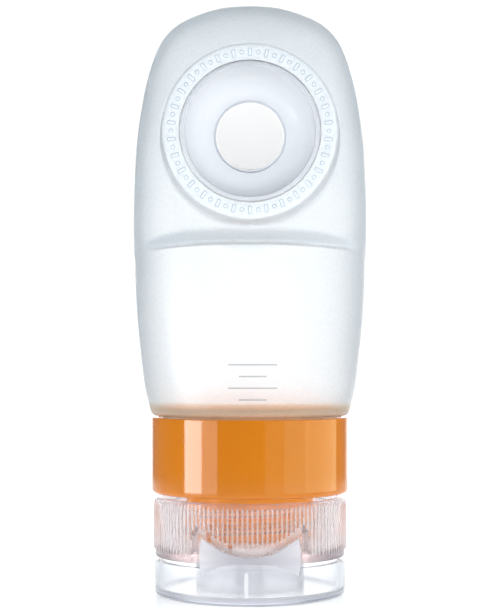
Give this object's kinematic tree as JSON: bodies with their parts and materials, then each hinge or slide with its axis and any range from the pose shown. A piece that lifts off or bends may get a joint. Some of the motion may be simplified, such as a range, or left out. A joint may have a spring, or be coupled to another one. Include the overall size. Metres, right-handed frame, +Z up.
{
  "type": "travel squeeze tube",
  "caption": "Soft squeeze tube with a suction cup, a turning hard collar and a ribbed screw cap with slit valve and flip lid, standing on its lid.",
  "frame": {"origin": "middle of the flat face of the flip lid on which the tube stands", "axes": "+Z up from the lid along the neck to the crown of the body, -Y out through the suction cup, the lid's hinge at +Y"},
  "size_m": [0.0464, 0.0398, 0.1173],
  "materials": {
    "frosted_silicone": "frosted translucent silicone",
    "clear_silicone": "clear silicone",
    "orange_insert": "satin moulded plastic",
    "marker_white": "matte moulded plastic",
    "orange_collar": "glossy moulded plastic",
    "clear_cap": "clear moulded plastic",
    "white_seal": "soft translucent seal",
    "valve_silicone": "soft silicone",
    "retainer_plastic": "clear moulded plastic",
    "clear_lid": "clear moulded plastic"
  },
  "bodies": {
    "tube": {"squeeze_body": "frosted_silicone", "suction_cup": "clear_silicone", "neck_insert": "orange_insert", "marker_ring": "marker_white"},
    "collar": {"collar_ring": "orange_collar"},
    "seal": {"cap_gasket": "white_seal"},
    "cap": {"cap_base": "clear_cap", "slit_valve": "valve_silicone", "valve_retainer": "retainer_plastic"},
    "lid": {"flip_lid": "clear_lid"}
  },
  "joints": [
    {"name": "collar_turn", "type": "hinge", "parent": "tube", "child": "collar", "pos_m": [0, 0, 0.0202], "axis": [0, 0, 1], "continuous": true},
    {"name": "cap_travel", "type": "slide", "parent": "tube", "child": "seal", "axis": [0, 0, -1], "range_m": [0, 0.00799]},
    {"name": "cap_turn", "type": "hinge", "parent": "seal", "child": "cap", "pos_m": [0, 0, 0.0194], "axis": [0, 0, -1], "range_deg": [0, 900]},
    {"name": "lid_flip", "type": "hinge", "parent": "cap", "child": "lid", "pos_m": [0, 0.0198, 0.0074], "axis": [1, 0, 0], "range_deg": [0, 150]}
  ],
  "couplings": [
    {"joint": "cap_turn", "follows": "cap_travel", "rad_per_m": 1963.5}
  ]
}
